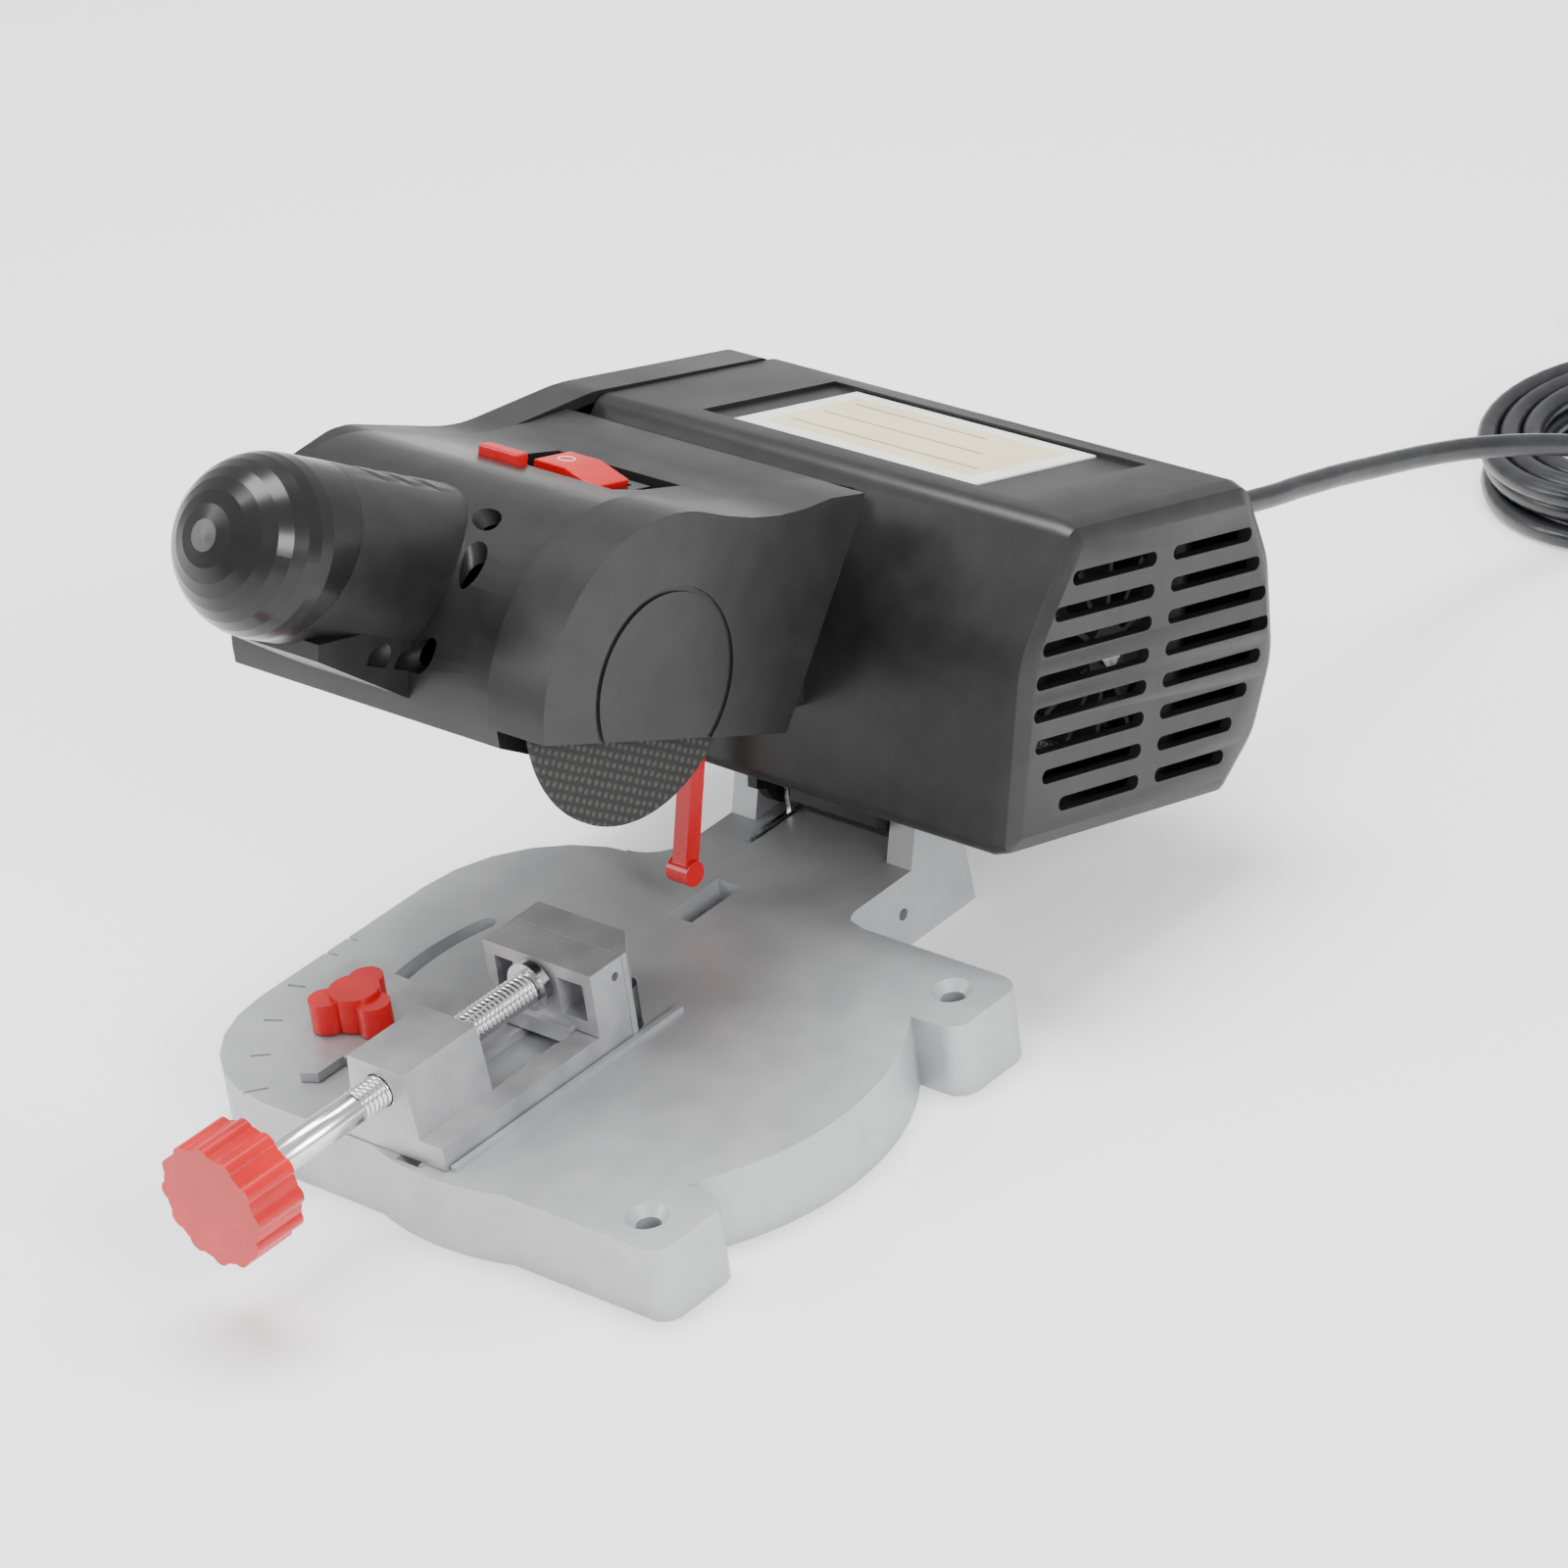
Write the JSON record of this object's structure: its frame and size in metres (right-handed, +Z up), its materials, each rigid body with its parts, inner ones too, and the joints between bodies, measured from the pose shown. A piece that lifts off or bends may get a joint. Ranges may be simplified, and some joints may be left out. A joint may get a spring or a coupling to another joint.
{
  "type": "bench mini chop saw",
  "caption": "Small bench cut-off saw: cast base with a swivelling screw vise, tilting motor head with an abrasive disc under a guard, grip and power cord.",
  "frame": {"origin": "midway between the two bench-screw holes, on the base's underside", "axes": "+X towards the motor's vented end, along the spindle; +Y from the vise knob towards the hinge; +Z up"},
  "size_m": [0.1299, 0.4043, 0.1287],
  "materials": {
    "cast_base": "satin",
    "cast_vise": "satin",
    "black_shell": "satin",
    "black_gloss": "gloss",
    "red_plastic": "gloss",
    "zinc_steel": "bright",
    "dark_steel": "satin",
    "bright_steel": "satin",
    "abrasive": "matte",
    "label_film": "gloss",
    "belt_rubber": "matte",
    "carbon": "matte",
    "fan_plastic": "matte",
    "cord_rubber": "gloss",
    "tie_fabric": "matte",
    "pin_brass": "bright"
  },
  "bodies": {
    "base": {"base_casting": "cast_base", "hinge_pin": "dark_steel", "return_spring": "bright_steel", "power_cord": "cord_rubber", "cord_coil": "cord_rubber", "cord_tail": "cord_rubber", "cord_tie": "tie_fabric", "plug_body": "cord_rubber", "plug_pins": "pin_brass"},
    "head": {"upper_housing": "black_shell", "lower_housing": "black_shell", "grip_cap": "black_gloss", "blade_guard": "black_shell", "belt_cover": "black_shell", "label_plate": "label_film", "switch_bezel": "black_gloss", "lock_spring": "bright_steel", "guide_post": "red_plastic", "spindle_bearings": "bright_steel", "drive_belt": "belt_rubber", "motor_can": "bright_steel", "motor_brushes": "carbon", "housing_screws": "dark_steel", "cover_screws": "dark_steel", "guard_screws": "dark_steel", "strain_relief": "cord_rubber"},
    "spindle": {"spindle": "bright_steel", "spindle_pulley": "dark_steel", "inner_flange": "dark_steel", "outer_flange": "dark_steel", "arbor_bolt": "zinc_steel", "cutting_disc": "abrasive"},
    "rotor": {"motor_shaft": "bright_steel", "motor_pulley": "dark_steel", "cooling_fan": "fan_plastic"},
    "rocker": {"rocker_switch": "red_plastic"},
    "lock_button": {"lock_button": "red_plastic"},
    "vise": {"vise_frame": "cast_vise", "vise_pivot_bolt": "dark_steel", "vise_lock_bolt": "dark_steel"},
    "lock_knob": {"vise_lock_knob": "red_plastic"},
    "jaw": {"moving_jaw": "cast_vise"},
    "screw": {"vise_screw": "zinc_steel", "retaining_ring": "zinc_steel", "vise_knob": "red_plastic"}
  },
  "joints": [
    {"name": "head_hinge", "type": "hinge", "parent": "base", "child": "head", "pos_m": [-0.0514, 0.073, 0.0215], "axis": [1, 0, 0], "range_deg": [0, 26], "stiffness_Nm_per_rad": 0.6, "springref_deg": -20.05, "deforming": ["return_spring"]},
    {"name": "rotor_spin", "type": "hinge", "parent": "head", "child": "rotor", "pos_m": [-0.045, 0.09, 0.05137], "axis": [1, 0, 0], "continuous": true},
    {"name": "spindle_spin", "type": "hinge", "parent": "head", "child": "spindle", "pos_m": [-0.07, 0.0091, 0.0793], "axis": [1, 0, 0], "continuous": true},
    {"name": "rocker_tilt", "type": "hinge", "parent": "head", "child": "rocker", "pos_m": [-0.0694, 0.0373, 0.0893], "axis": [0, 0.9588, -0.284], "range_deg": [-16, 0]},
    {"name": "lock_press", "type": "slide", "parent": "head", "child": "lock_button", "axis": [0, -0.284, -0.9588], "range_m": [0, 0.003], "stiffness_N_per_m": 400, "springref_m": -0.001, "deforming": ["lock_spring"]},
    {"name": "vise_swivel", "type": "hinge", "parent": "base", "child": "vise", "pos_m": [-0.041, 0.003, 0.0137], "axis": [0, 0, 1], "range_deg": [-45, 0]},
    {"name": "lock_knob_turn", "type": "hinge", "parent": "vise", "child": "lock_knob", "pos_m": [-0.07997, -0.02107, 0.016], "axis": [0, 0, 1], "range_deg": [0, 120]},
    {"name": "jaw_slide", "type": "slide", "parent": "vise", "child": "jaw", "axis": [0, -1, 0], "range_m": [0, 0.016]},
    {"name": "screw_turn", "type": "hinge", "parent": "jaw", "child": "screw", "pos_m": [-0.0499, -0.05, 0.0253], "axis": [0, -1, 0], "range_deg": [0, 5760]}
  ],
  "couplings": [
    {"joint": "spindle_spin", "follows": "rotor_spin", "ratio": 0.75},
    {"joint": "screw_turn", "follows": "jaw_slide", "rad_per_m": 6283.2}
  ]
}
